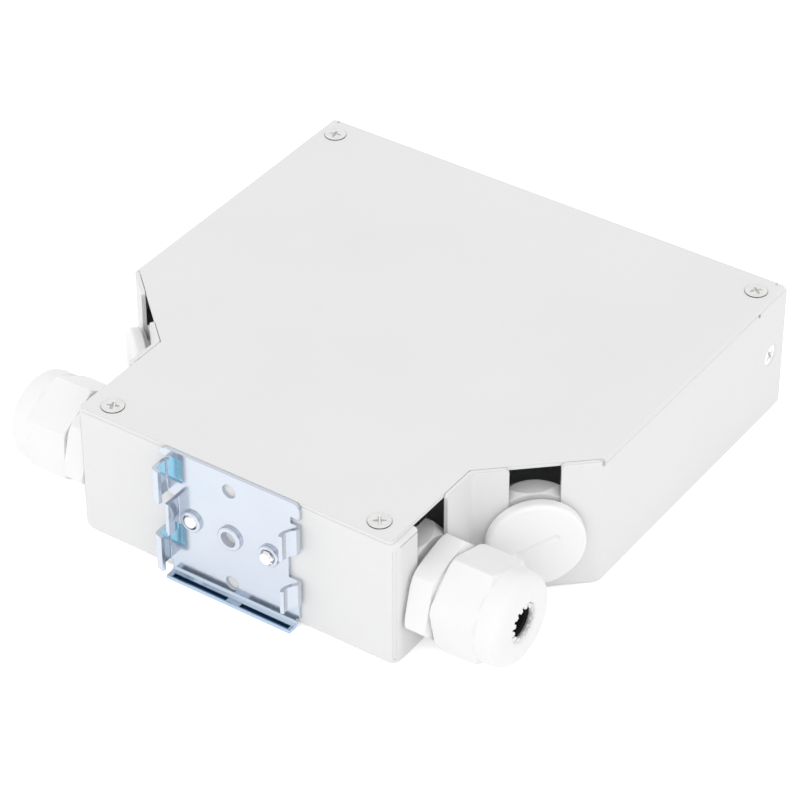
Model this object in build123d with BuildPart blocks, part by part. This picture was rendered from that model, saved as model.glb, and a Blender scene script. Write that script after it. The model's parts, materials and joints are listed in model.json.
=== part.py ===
from build123d import *
from math import atan2, cos, hypot, sin, tan
import os

# Fibre distribution box for a 35 mm rail: a folded sheet case with a lift-off lid,
# two cable glands, two blind plugs, a rail clip and a wide end panel with adapters.
# Millimetres, Z up, the case lies on its floor. The narrow end with the rail clip
# faces -Y and the wide end with the adapters faces +Y.

os.makedirs("parts", exist_ok=True)

# Case
case_height = 35.0
wide_width = 130.0
narrow_width = 87.1
case_depth = 130.8
shoulder_front = 29.7
shoulder_back = 49.3
sheet = 1.0
bend_radius = 1.8
corner_radius = 2.7
seam_width = 0.25

# Lid and the flanges under it
lid_sheet = 0.9
lid_gap = 0.15
lid_step = 0.9
lid_corner = 1.2
side_flange_width = 8.0
side_flange_stop = 13.2
flange_relief = 0.9
relief_depth = 0.55
wall_gap = 0.25
flange_slit = 0.25
lip_height = 6.0
lip_inset = 2.4

# Lid screws and side screws
screw_head = 5.5
screw_thread = 3.0
screw_play = 0.05
screw_proud = 0.35
recess_share = 0.56
recess_width = 0.75
recess_depth = 0.8
lid_screw_length = 6.0
lid_screw_front = 4.7
lid_screw_front_side = 7.3
lid_screw_back = 6.3
lid_screw_back_side = 4.8
collar_wall = 1.2
collar_drop = 1.6
side_screw_back = 5.8
side_screw_height = 18.0
side_screw_length = 6.0

# Entries on the narrow and the angled walls
gland_height = 14.6
plug_height = 15.8
entry_thread = 16.0
entry_play = 0.3
entry_window = 11.6
window_chamfer = 0.7
gland_inset = 14.2
plug_shift = 0.6
seal_thickness = 0.8
seal_width = 2.2
locknut_flats = 22.4
locknut_thickness = 5.2
locknut_round = 11.1
thread_play = 0.05

# Cable gland
gland_flats = 22.4
gland_hex_thickness = 5.6
gland_corner_cut = 0.8
gland_tail = 7.5
gland_bore = 10.4
cap_thread = 18.0
cap_gap = 0.6
cap_length = 17.1
cap_round_length = 5.9
cap_corner_cut = 0.3
cap_flats = 21.6
cap_round = 22.3
cap_nose_radius = 3.2
cap_mouth = 10.2
cap_lip = 0.9
claw_length = 4.2
claw_wall = 1.2
claw_taper = 44.0
claw_taper_length = 3.2
claw_play = 0.3
claw_mouth = 7.2
claw_count = 10
claw_slit = 0.9
insert_wall = 1.9

# Blind plug
plug_head = 22.6
plug_head_thickness = 3.0
plug_head_round = 1.1
plug_tail = 7.0
plug_wall = 2.0
coin_slot_length = 10.9
coin_slot_width = 1.4
coin_slot_depth = 0.6
coin_slot_angle = 25.0

# Rail clip
clip_sheet = 0.9
clip_width = 38.2
clip_corner = 2.0
clip_screw_pitch = 21.3
clip_screw_thread = 3.8
clip_screw_head = 6.4
clip_screw_head_height = 2.2
clip_screw_end_left = 0.1
clip_screw_end_right = 0.9
clip_collar = 5.5
clip_collar_height = 0.9
clip_middle_thread = 4.0
clip_middle_collar = 6.2
clip_collar_round = 0.4
clip_hole = 3.6
clip_hole_edge = 4.5
hook_side = 18.4
hook_reach = 5.2
snap_side = 17.2
snap_reach = 4.4
snap_lip = 1.9
stop_side = 14.2
stop_reach = 3.8
foot_reach = 2.7
foot_slot = 1.3
foot_slot_middle = 1.7
foot_slot_floor = 0.3
press_depth = 0.35
press_width = 3.9
press_height = 6.4

# End panel and adapters
panel_gap = 0.4
panel_play = 0.1
panel_drop = 0.4
ear_depth = 11.0
tab_depth = 9.0
tab_width = 9.5
adapter_count = 6
adapter_margin = 12.5
adapter_height = 12.8
adapter_width = 9.2
adapter_outer = 11.0
adapter_inner = 14.0
adapter_wall = 1.0
adapter_flange_height = 21.6
adapter_flange_side = 0.6
adapter_flange = 1.6
adapter_pocket = 9.5
adapter_play = 0.1
adapter_screw_hole = 2.2
key_width = 3.2
key_depth = 5.0
sleeve_diameter = 5.2
sleeve_length = 13.0
sleeve_bore = 2.54
dust_cap_head = 3.0
dust_cap_length = 6.5
dust_cap_height = 8.4
dust_cap_width = 6.2
dust_cap_round = 0.8

# Splice tray
standoff_height = 5.0
standoff_diameter = 7.0
tray_front = 35.5
tray_back_gap = 33.3
tray_side_gap = 12.0
tray_front_side = 19.5
tray_floor = 1.5
tray_wall = 1.5
tray_height = 9.0
tray_corner = 7.0
tray_cover_thickness = 1.0
tray_cover_gap = 0.3
cover_finger_hole = 12.0
drum_offset = 26.0
drum_shift = 4.0
drum_diameter = 26.0
drum_wall = 1.4
drum_drop = 2.0
post_diameter = 7.2
tray_screw_edge = 8.0
tray_screw_thread = 3.0
tray_screw_play = 0.1
tray_screw_head = 5.6
tray_screw_head_height = 2.0
tray_screw_length = 14.0
fibre_slot = 9.0
comb_width = 18.0
comb_end_gap = 17.0
comb_height = 5.0
comb_base = 1.2
comb_count = 7
comb_wall = 0.7

# Levels and positions that follow
clip_reach = clip_sheet + hook_reach
adapter_reach = adapter_outer + dust_cap_head
panel_face = case_depth - lid_sheet - panel_gap
overall_back = panel_face + adapter_reach
front = (clip_reach - overall_back) / 2
back = front + case_depth
lid_under = case_height - lid_sheet
flange_under = lid_under - sheet
half_wide = wide_width / 2
half_narrow = narrow_width / 2
turn = atan2(half_wide - half_narrow, shoulder_back - shoulder_front)
lean = tan(turn / 2)
screw_radius = screw_thread / 2
head_radius = screw_head / 2
head_cone = head_radius - screw_radius
lid_edge = sheet + lid_gap
front_flange_depth = gland_inset - entry_window / 2
middle_height = case_height / 2


def case_line(inset, first, last):
    """Half outline of the case on the +X side, moved inwards by inset."""
    return [
        (half_narrow - inset, first),
        (half_narrow - inset, front + shoulder_front + inset * lean),
        (half_wide - inset, front + shoulder_back + inset * lean),
        (half_wide - inset, last),
    ]


def both_sides(points):
    """Closed outline from the +X half."""
    return points + [(-x, y) for x, y in reversed(points)]


def strip(points, thickness):
    """Outline of a bent strip around its middle line."""
    left = []
    right = []
    for i, (x, y) in enumerate(points):
        normals = []
        if i > 0:
            dx, dy = x - points[i - 1][0], y - points[i - 1][1]
            normals.append((-dy / hypot(dx, dy), dx / hypot(dx, dy)))
        if i < len(points) - 1:
            dx, dy = points[i + 1][0] - x, points[i + 1][1] - y
            normals.append((-dy / hypot(dx, dy), dx / hypot(dx, dy)))
        nx = sum(n[0] for n in normals) / len(normals)
        ny = sum(n[1] for n in normals) / len(normals)
        scale = thickness / 2 / (nx * nx + ny * ny)
        left.append((x + nx * scale, y + ny * scale))
        right.append((x - nx * scale, y - ny * scale))
    return left + right[::-1]


def hexagon_radius(flats):
    """Corner radius of a hexagon with the given width over flats."""
    return flats / 3 ** 0.5


def wall_plane(at, out):
    """Plane on a wall with the outward direction out, local y along Z."""
    return Plane(origin=at, x_dir=(-out[1], out[0], 0), z_dir=(out[0], out[1], 0))


def angled_plane(side, offset):
    """Plane at the entry centre of an angled wall, offset outwards."""
    out = (side * cos(turn), -sin(turn))
    along = (-side * sin(turn), -cos(turn))
    middle_x = side * (half_narrow + half_wide) / 2
    middle_y = front + (shoulder_front + shoulder_back) / 2
    at = (
        middle_x + out[0] * offset + along[0] * plug_shift,
        middle_y + out[1] * offset + along[1] * plug_shift,
        plug_height,
    )
    return wall_plane(at, out)


def gland_plane(side, offset):
    """Plane at the gland centre of a narrow side wall, offset outwards."""
    at = (side * (half_narrow + offset), front + gland_inset, gland_height)
    return wall_plane(at, (side, 0))


lid_screw_places = {
    "front_left": (-(half_narrow - lid_screw_front_side), front + lid_screw_front),
    "front_right": (half_narrow - lid_screw_front_side, front + lid_screw_front),
    "back_left": (-(half_wide - lid_screw_back_side), back - lid_screw_back),
    "back_right": (half_wide - lid_screw_back_side, back - lid_screw_back),
}
tray_first = front + tray_front
tray_last = back - tray_back_gap
tray_middle = (tray_first + tray_last) / 2
tray_screws = {"front": tray_first + tray_screw_edge, "back": tray_last - tray_screw_edge}

# Base tray
with BuildPart() as base_tray:
    with BuildSketch() as footprint:
        with BuildLine():
            Polyline(*both_sides(case_line(0, front, back)), close=True)
        make_face()
        fillet(footprint.vertices().filter_by(lambda v: v.Y < back - 1), corner_radius)
    extrude(amount=case_height)
    fillet(
        base_tray.edges().group_by(Axis.Z)[0].filter_by(lambda e: e.center().Y < back - 0.01),
        bend_radius,
    )
    with BuildSketch(Plane.XY.offset(sheet)) as hollow:
        with BuildLine():
            Polyline(*both_sides(case_line(sheet, front + sheet, back + 1)), close=True)
        make_face()
        fillet(hollow.vertices().filter_by(lambda v: v.Y < back - 1), corner_radius - sheet)
    extrude(amount=case_height, mode=Mode.SUBTRACT)
    # The wide part stops under the lid
    with Locations((0, front + shoulder_back + sheet / 8, lid_under)):
        Box(wide_width + 2, case_depth, 10, align=(Align.CENTER, Align.MIN, Align.MIN),
            mode=Mode.SUBTRACT)
    # The front part stops under the front flange, the side walls a slit lower
    with Locations((0, front, flange_under)):
        Box(narrow_width + 2, 2 * front_flange_depth, 10,
            align=(Align.CENTER, Align.CENTER, Align.MIN), mode=Mode.SUBTRACT)
    for side in (-1, 1):
        with Locations((side * half_narrow, front + sheet + flange_relief, flange_under - flange_slit)):
            Box(2 * sheet + 2, front_flange_depth - sheet - flange_relief, 5,
                align=(Align.CENTER, Align.MIN, Align.MIN), mode=Mode.SUBTRACT)
    with BuildSketch(Plane.XY.offset(flange_under)):
        add(footprint.sketch)
        with Locations((0, front)):
            Rectangle(narrow_width, 2 * front_flange_depth, mode=Mode.INTERSECT)
    extrude(amount=sheet)
    fillet(
        base_tray.edges().filter_by(Axis.X).filter_by(
            lambda e: abs(e.center().Y - front) < 0.01 and abs(e.center().Z - lid_under) < 0.01),
        sheet * 0.8,
    )
    # Side flanges
    flange_start = front + shoulder_back + lid_step
    for side in (-1, 1):
        with Locations((side * half_wide, flange_start, flange_under)):
            Box(side_flange_width, back - side_flange_stop - flange_start, sheet,
                align=(Align.MAX if side > 0 else Align.MIN, Align.MIN, Align.MIN))
    fillet(
        base_tray.edges().filter_by(Axis.Y).filter_by(
            lambda e: abs(abs(e.center().X) - half_wide) < 0.01
            and abs(e.center().Z - lid_under) < 0.01),
        sheet * 0.8,
    )
    # Relief slots at both ends of each side flange and the lower end of the wall
    for side in (-1, 1):
        for level, low in (
            (flange_start - flange_relief, lid_under - relief_depth),
            (back - side_flange_stop, flange_under - 0.1),
        ):
            with Locations((side * half_wide, level, low)):
                Box(4 * sheet, flange_relief, 5, align=(Align.CENTER, Align.MIN, Align.MIN),
                    mode=Mode.SUBTRACT)
        with Locations((side * half_wide, back - side_flange_stop, lid_under - wall_gap)):
            Box(4 * sheet, case_depth, 5, align=(Align.CENTER, Align.MIN, Align.MIN),
                mode=Mode.SUBTRACT)
    # Seams where the narrow end meets the side walls
    for side in (-1, 1):
        with Locations((side * (half_narrow - 0.29 * corner_radius),
                        front + 0.29 * corner_radius, bend_radius)):
            Box(seam_width, 0.8, flange_under - bend_radius - 1, rotation=(0, 0, -45 * side),
                align=(Align.CENTER, Align.CENTER, Align.MIN), mode=Mode.SUBTRACT)
    # Entries: a round hole with a slot up to the top edge
    for side in (-1, 1):
        for entry, level in (
            (gland_plane(side, 2), gland_height), (angled_plane(side, 2), plug_height),
        ):
            with BuildSketch(entry):
                Circle((entry_thread + entry_play) / 2)
                with BuildLine():
                    top = case_height - level
                    Polyline(
                        (-entry_window / 2, 0), (entry_window / 2, 0),
                        (entry_window / 2, top - window_chamfer),
                        (entry_window / 2 + window_chamfer, top),
                        (entry_window / 2 + window_chamfer, top + 1),
                        (-entry_window / 2 - window_chamfer, top + 1),
                        (-entry_window / 2 - window_chamfer, top),
                        (-entry_window / 2, top - window_chamfer),
                        close=True,
                    )
                make_face()
            extrude(amount=-(2 + sheet + 2), mode=Mode.SUBTRACT)
    # Collars and holes of the front lid screws
    for name in ("front_left", "front_right"):
        x, y = lid_screw_places[name]
        with Locations((x, y, flange_under)):
            Cylinder(screw_radius + collar_wall, collar_drop,
                     align=(Align.CENTER, Align.CENTER, Align.MAX))
        with Locations((x, y, lid_under)):
            Cylinder(screw_radius + screw_play, 10, mode=Mode.SUBTRACT)
            Cone(screw_radius, head_radius + 0.1, head_cone + 0.1,
                 align=(Align.CENTER, Align.CENTER, Align.CENTER), mode=Mode.SUBTRACT)
    # Countersunk holes of the side screws
    for side in (-1, 1):
        with Locations((side * (half_wide + 0.001), back - side_screw_back, side_screw_height)):
            Cone(screw_radius + screw_play, head_radius + screw_play, head_cone,
                 rotation=(0, 90 * side, 0), align=(Align.CENTER, Align.CENTER, Align.MAX),
                 mode=Mode.SUBTRACT)
            Cylinder(screw_radius + screw_play, 10, rotation=(0, 90, 0), mode=Mode.SUBTRACT)
    # Holes behind the rail clip screws
    for side in (-1, 1):
        with Locations((side * clip_screw_pitch / 2, front, middle_height)):
            Cylinder(clip_screw_thread / 2 + 0.15, 10, rotation=(90, 0, 0), mode=Mode.SUBTRACT)
    # Holes of the tray standoffs
    for y in tray_screws.values():
        with Locations((0, y, 0)):
            Cylinder(tray_screw_thread / 2, 10, mode=Mode.SUBTRACT)
base_tray.part.label = "base_tray"
export_step(base_tray.part, "parts/base_tray.step")
print("base_tray", base_tray.part.volume, len(base_tray.part.solids()), base_tray.part.is_valid)

# Lid: flat sheet between the front walls, flush on the wide part, with a folded far lip
lid_front = front + 0.15
step_back = front + shoulder_back + lid_step
step_x = half_wide - lid_edge - (lid_edge * lean - lid_step) * tan(turn)
lip_half = half_wide - lip_inset
with BuildPart() as lid:
    with BuildSketch(Plane.XY.offset(lid_under)) as lid_shape:
        with BuildLine():
            Polyline(*both_sides([
                (half_narrow - lid_edge, lid_front),
                (half_narrow - lid_edge, front + shoulder_front + lid_edge * lean),
                (step_x, step_back),
                (half_wide, step_back),
                (half_wide, back),
            ]), close=True)
        make_face()
        fillet(lid_shape.vertices().filter_by(lambda v: v.Y < lid_front + 0.01), lid_corner)
        fillet(lid_shape.vertices().filter_by(lambda v: v.Y > back - 0.01), lid_corner)
    extrude(amount=lid_sheet)
    # Far lip with relief notches at its ends
    with Locations((0, back, case_height)):
        Box(2 * lip_half, lid_sheet, lip_height, align=(Align.CENTER, Align.MAX, Align.MAX))
    fillet(
        lid.edges().filter_by(Axis.X).filter_by(
            lambda e: e.center().Y > back - 0.01 and e.center().Z > case_height - 0.01
            and e.length > wide_width / 2),
        lid_sheet * 0.9,
    )
    for side in (-1, 1):
        with Locations((side * (lip_half + 0.3), back, case_height)):
            Box(0.6, 3.0, 4 * lid_sheet, mode=Mode.SUBTRACT)
    # Countersinks
    for x, y in lid_screw_places.values():
        with Locations((x, y, case_height + 0.001)):
            Cone(screw_radius + screw_play, head_radius + screw_play, head_cone,
                 align=(Align.CENTER, Align.CENTER, Align.MAX), mode=Mode.SUBTRACT)
lid.part.label = "lid"
export_step(lid.part, "parts/lid.step")
print("lid", lid.part.volume, len(lid.part.solids()), lid.part.is_valid)

# Lid screws, countersunk with a cross recess
for name, (x, y) in lid_screw_places.items():
    with BuildPart() as lid_screw:
        with Locations((x, y, case_height + screw_proud)):
            Cone(screw_radius - screw_play, head_radius - 0.02, head_cone - 0.02,
                 align=(Align.CENTER, Align.CENTER, Align.MAX))
            Cylinder(screw_radius - screw_play, lid_screw_length + screw_proud,
                     align=(Align.CENTER, Align.CENTER, Align.MAX))
            for turned in (0, 90):
                Box(screw_head * recess_share, recess_width, 2 * recess_depth,
                    rotation=(0, 0, turned + 35), mode=Mode.SUBTRACT)
        chamfer(lid_screw.faces().sort_by(Axis.Z)[0].edges(), 0.4)
    lid_screw.part.label = "lid_screw_" + name
    export_step(lid_screw.part, "parts/lid_screw_" + name + ".step")

# End panel between the side walls, with ears for the side screws and tabs for the lid
panel_back = front + panel_face
panel_half = half_wide - sheet - panel_play
panel_top = flange_under - panel_drop
adapter_pitch = (wide_width - 2 * adapter_margin) / adapter_count
ports = [(i - (adapter_count - 1) / 2) * adapter_pitch for i in range(adapter_count)]
with BuildPart() as adapter_panel:
    with Locations((0, panel_back, sheet)):
        Box(2 * panel_half, sheet, panel_top - sheet, align=(Align.CENTER, Align.MAX, Align.MIN))
    for side in (-1, 1):
        inwards = Align.MAX if side > 0 else Align.MIN
        with Locations((side * panel_half, panel_back, sheet + 3)):
            Box(sheet, ear_depth, panel_top - sheet - 9, align=(inwards, Align.MAX, Align.MIN))
        with Locations((side * (panel_half - 0.3), panel_back, lid_under)):
            Box(tab_width, tab_depth, sheet, align=(inwards, Align.MAX, Align.MAX))
        with Locations((side * (panel_half - 1.8), panel_back, panel_top - 1)):
            Box(tab_width - 3, sheet, lid_under - panel_top, align=(inwards, Align.MAX, Align.MIN))
    fillet(
        adapter_panel.edges().filter_by(Axis.X).filter_by(
            lambda e: abs(e.center().Y - panel_back) < 0.01 and abs(e.center().Z - lid_under) < 0.01),
        sheet * 0.8,
    )
    fillet(
        adapter_panel.edges().filter_by(Axis.Z).filter_by(
            lambda e: abs(e.center().Y - panel_back) < 0.01
            and abs(abs(e.center().X) - panel_half) < 0.01 and e.length > case_height / 2),
        sheet * 0.8,
    )
    for side, name in ((-1, "back_left"), (1, "back_right")):
        # Threaded collar and hole of the lid screw
        x, y = lid_screw_places[name]
        with Locations((x, y, flange_under)):
            Cylinder(screw_radius + collar_wall, collar_drop,
                     align=(Align.CENTER, Align.CENTER, Align.MAX))
        with Locations((x, y, lid_under)):
            Cylinder(screw_radius + screw_play, 10, mode=Mode.SUBTRACT)
            Cone(screw_radius, head_radius + 0.1, head_cone + 0.1,
                 align=(Align.CENTER, Align.CENTER, Align.CENTER), mode=Mode.SUBTRACT)
        # Threaded collar and hole of the side screw
        with Locations((side * (panel_half - sheet), back - side_screw_back, side_screw_height)):
            Cylinder(screw_radius + collar_wall, collar_drop, rotation=(0, -90 * side, 0),
                     align=(Align.CENTER, Align.CENTER, Align.MIN))
        with Locations((side * half_wide, back - side_screw_back, side_screw_height)):
            Cylinder(screw_radius, 20, rotation=(0, 90, 0), mode=Mode.SUBTRACT)
            Cone(screw_radius + screw_play, head_radius + screw_play, head_cone,
                 rotation=(0, 90 * side, 0), align=(Align.CENTER, Align.CENTER, Align.MAX),
                 mode=Mode.SUBTRACT)
    # Ports
    for x in ports:
        with Locations((x, panel_back, middle_height)):
            Box(adapter_width + 2 * adapter_play, 4 * sheet, adapter_height + 2 * adapter_play,
                mode=Mode.SUBTRACT)
adapter_panel.part.label = "adapter_panel"
export_step(adapter_panel.part, "parts/adapter_panel.step")
print("panel", adapter_panel.part.volume, len(adapter_panel.part.solids()))

# Side screws
for name, side in (("left", -1), ("right", 1)):
    with BuildPart() as side_screw:
        with Locations((side * half_wide, back - side_screw_back, side_screw_height)):
            Cone(screw_radius, head_radius - 0.02, head_cone - 0.02, rotation=(0, 90 * side, 0),
                 align=(Align.CENTER, Align.CENTER, Align.MAX))
            Cylinder(screw_radius, side_screw_length, rotation=(0, 90 * side, 0),
                     align=(Align.CENTER, Align.CENTER, Align.MAX))
            for turned in (0, 90):
                Box(2 * recess_depth, screw_head * recess_share, recess_width,
                    rotation=(turned + 30, 0, 0), mode=Mode.SUBTRACT)
    side_screw.part.label = "side_screw_" + name
    export_step(side_screw.part, "parts/side_screw_" + name + ".step")

# Adapters, one block with an outer and an inner port and a flange on the panel
for i, x in enumerate(ports):
    outer_face = panel_back + adapter_outer
    inner_face = panel_back - sheet - adapter_inner
    with BuildPart() as adapter:
        with Locations((x, outer_face, middle_height)):
            Box(adapter_width, adapter_outer + sheet + adapter_inner, adapter_height,
                align=(Align.CENTER, Align.MAX, Align.CENTER))
        with Locations((x, panel_back, middle_height)):
            Box(adapter_width + 2 * adapter_flange_side, adapter_flange, adapter_flange_height,
                align=(Align.CENTER, Align.MIN, Align.CENTER))
        for face in (outer_face, inner_face):
            with Locations((x, face, middle_height)):
                Box(adapter_width - 2 * adapter_wall, 2 * adapter_pocket,
                    adapter_height - 3 * adapter_wall, mode=Mode.SUBTRACT)
            with Locations((x, face, middle_height + adapter_height / 2)):
                Box(key_width, 2 * key_depth, 4 * adapter_wall, mode=Mode.SUBTRACT)
        with Locations((x, panel_back, middle_height)):
            Cylinder(sleeve_diameter / 2, sleeve_length, rotation=(90, 0, 0))
            Cylinder(sleeve_bore / 2, 40.0, rotation=(90, 0, 0), mode=Mode.SUBTRACT)
        for step in (-1, 1):
            level = middle_height + step * (adapter_flange_height + adapter_height) / 4
            with Locations((x, panel_back, level)):
                Cylinder(adapter_screw_hole / 2, 10.0, rotation=(90, 0, 0), mode=Mode.SUBTRACT)
    adapter.part.label = "adapter_%d" % (i + 1)
    export_step(adapter.part, "parts/adapter_%d.step" % (i + 1))
    with BuildPart() as dust_cap:
        with Locations((x, outer_face, middle_height)):
            Box(adapter_width - 0.4, dust_cap_head, adapter_height - 0.8,
                align=(Align.CENTER, Align.MIN, Align.CENTER))
        fillet(dust_cap.edges().group_by(Axis.Y)[-1], dust_cap_round)
        with Locations((x, outer_face, middle_height)):
            Box(dust_cap_width, dust_cap_length, dust_cap_height,
                align=(Align.CENTER, Align.MAX, Align.CENTER))
        with Locations((x, outer_face - dust_cap_length, middle_height)):
            Cylinder(sleeve_diameter / 2 + 0.35, 2 * dust_cap_length, rotation=(90, 0, 0),
                     mode=Mode.SUBTRACT)
    dust_cap.part.label = "dust_cap_%d" % (i + 1)
    export_step(dust_cap.part, "parts/dust_cap_%d.step" % (i + 1))
print("adapter", adapter.part.volume, len(adapter.part.solids()),
      dust_cap.part.volume, len(dust_cap.part.solids()))

# Cable gland of the +X side, drawn outwards from the wall face
hex_start = seal_thickness
hex_end = hex_start + gland_hex_thickness
cap_start = hex_end + cap_gap
cap_end = cap_start + cap_length
stem_radius = cap_thread / 2
entry_radius = entry_thread / 2
claw_end = cap_end - cap_lip
claw_start = claw_end - claw_length
cap_hex_length = cap_length - cap_round_length
taper_start = claw_end - claw_taper_length

with BuildPart() as gland_body:
    with BuildSketch(gland_plane(1, hex_start)):
        RegularPolygon(hexagon_radius(gland_flats), 6, rotation=15)
    extrude(amount=gland_hex_thickness)
    # Chamfered corners on the outer side of the hexagon
    with BuildSketch(gland_plane(1, hex_end)):
        Circle(hexagon_radius(gland_flats) - gland_corner_cut)
    extrude(amount=-gland_hex_thickness, taper=-30, mode=Mode.INTERSECT)
    with BuildSketch(gland_plane(1, -gland_tail)):
        Circle(entry_radius)
    extrude(amount=gland_tail + hex_start)
    with BuildSketch(gland_plane(1, hex_end)):
        Circle(stem_radius)
    extrude(amount=taper_start - hex_end)
    with BuildSketch(gland_plane(1, taper_start)):
        Circle(stem_radius)
    extrude(amount=claw_taper_length, taper=claw_taper)
    # Bore, narrower at the claw tips
    with BuildSketch(gland_plane(1, -gland_tail)):
        Circle(gland_bore / 2)
    extrude(amount=gland_tail + claw_end - claw_wall, mode=Mode.SUBTRACT)
    with BuildSketch(gland_plane(1, claw_end)):
        Circle(claw_mouth / 2)
    extrude(amount=-2 * claw_wall, mode=Mode.SUBTRACT)
    # Claws
    with BuildSketch(gland_plane(1, claw_start)):
        for i in range(claw_count // 2):
            Rectangle(2 * stem_radius + 2, claw_slit, rotation=i * 360 / claw_count)
    extrude(amount=claw_length + 1, mode=Mode.SUBTRACT)
print("gland body", gland_body.part.volume, len(gland_body.part.solids()), gland_body.part.is_valid)

with BuildPart() as gland_seal:
    with BuildSketch(gland_plane(1, 0)):
        Circle(entry_radius + seal_width)
        Circle(entry_radius, mode=Mode.SUBTRACT)
    extrude(amount=seal_thickness)

with BuildPart() as gland_locknut:
    with BuildSketch(gland_plane(1, -sheet)):
        RegularPolygon(hexagon_radius(locknut_flats), 6)
        Circle(entry_radius + thread_play, mode=Mode.SUBTRACT)
    extrude(amount=-locknut_thickness)
    with BuildSketch(gland_plane(1, -sheet)):
        Circle(locknut_round)
    extrude(amount=-locknut_thickness, taper=-30, mode=Mode.INTERSECT)
    with BuildSketch(gland_plane(1, -sheet - locknut_thickness)):
        Circle(locknut_round)
    extrude(amount=locknut_thickness, taper=-30, mode=Mode.INTERSECT)

# Rubber sleeve held in the body
with BuildPart() as gland_insert:
    with BuildSketch(gland_plane(1, claw_end - claw_wall)):
        Circle(gland_bore / 2)
        Circle(gland_bore / 2 - insert_wall, mode=Mode.SUBTRACT)
    extrude(amount=-(claw_end - claw_wall - hex_start - 2))

# Cap nut: hexagon with chamfered corners that runs out into a round nose
with BuildPart() as gland_cap:
    with BuildSketch(gland_plane(1, cap_start)):
        RegularPolygon(hexagon_radius(cap_flats), 6, rotation=43)
    extrude(amount=cap_hex_length)
    with BuildSketch(gland_plane(1, cap_start)):
        Circle(hexagon_radius(cap_flats) - cap_corner_cut)
    extrude(amount=cap_hex_length, taper=-35, mode=Mode.INTERSECT)
    with BuildSketch(gland_plane(1, cap_start + cap_hex_length)):
        Circle(cap_round / 2)
    extrude(amount=-cap_hex_length, taper=-60, mode=Mode.INTERSECT)
    with BuildSketch(gland_plane(1, cap_start + cap_hex_length)):
        Circle(cap_round / 2)
    extrude(amount=cap_length - cap_hex_length)
    nose = gland_cap.edges().filter_by(GeomType.CIRCLE).sort_by(Axis.X)[-1]
    fillet(nose, cap_nose_radius)
    # Threaded bore and the mouth
    with BuildSketch(gland_plane(1, cap_start)):
        Circle(stem_radius + thread_play)
    extrude(amount=taper_start + claw_play - cap_start, mode=Mode.SUBTRACT)
    with BuildSketch(gland_plane(1, taper_start + claw_play)):
        Circle(stem_radius + thread_play)
    extrude(amount=claw_taper_length, taper=claw_taper, mode=Mode.SUBTRACT)
    with BuildSketch(gland_plane(1, cap_start)):
        Circle(cap_mouth / 2)
    extrude(amount=cap_length + 1, mode=Mode.SUBTRACT)
    fillet(gland_cap.edges().filter_by(GeomType.CIRCLE).sort_by(Axis.X)[-1], 0.4)
print("gland cap", gland_cap.part.volume, len(gland_cap.part.solids()), gland_cap.part.is_valid)

# Blind plug of the +X angled wall
with BuildPart() as plug:
    with BuildSketch(angled_plane(1, seal_thickness)):
        Circle(plug_head / 2)
    extrude(amount=plug_head_thickness)
    plug_top = plug.faces().filter_by(
        lambda f: (f.center() - angled_plane(1, seal_thickness + plug_head_thickness).origin).length < 0.5)
    fillet(plug_top.edges(), plug_head_round)
    with BuildSketch(angled_plane(1, seal_thickness)):
        Circle(entry_radius)
    extrude(amount=-(seal_thickness + plug_tail))
    with BuildSketch(angled_plane(1, 0)):
        Circle(entry_radius - plug_wall)
    extrude(amount=-plug_tail, mode=Mode.SUBTRACT)
    with BuildSketch(angled_plane(1, seal_thickness + plug_head_thickness)):
        SlotOverall(coin_slot_length, coin_slot_width, rotation=coin_slot_angle)
    extrude(amount=-coin_slot_depth, mode=Mode.SUBTRACT)
print("plug", plug.part.volume, len(plug.part.solids()))

with BuildPart() as plug_seal:
    with BuildSketch(angled_plane(1, 0)):
        Circle(entry_radius + seal_width)
        Circle(entry_radius, mode=Mode.SUBTRACT)
    extrude(amount=seal_thickness)

with BuildPart() as plug_locknut:
    with BuildSketch(angled_plane(1, -sheet)):
        RegularPolygon(hexagon_radius(locknut_flats), 6)
        Circle(entry_radius + thread_play, mode=Mode.SUBTRACT)
    extrude(amount=-locknut_thickness)
    with BuildSketch(angled_plane(1, -sheet)):
        Circle(locknut_round)
    extrude(amount=-locknut_thickness, taper=-30, mode=Mode.INTERSECT)
    with BuildSketch(angled_plane(1, -sheet - locknut_thickness)):
        Circle(locknut_round)
    extrude(amount=locknut_thickness, taper=-30, mode=Mode.INTERSECT)

# The entries of the -X side are mirror images
for name, piece in (
    ("gland_body", gland_body), ("gland_seal", gland_seal), ("gland_locknut", gland_locknut),
    ("gland_insert", gland_insert), ("gland_cap", gland_cap), ("plug", plug),
    ("plug_seal", plug_seal), ("plug_locknut", plug_locknut),
):
    left_piece = mirror(piece.part, about=Plane.YZ)
    piece.part.label = name + "_right"
    left_piece.label = name + "_left"
    export_step(piece.part, "parts/" + name + "_right.step")
    export_step(left_piece, "parts/" + name + "_left.step")

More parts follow.
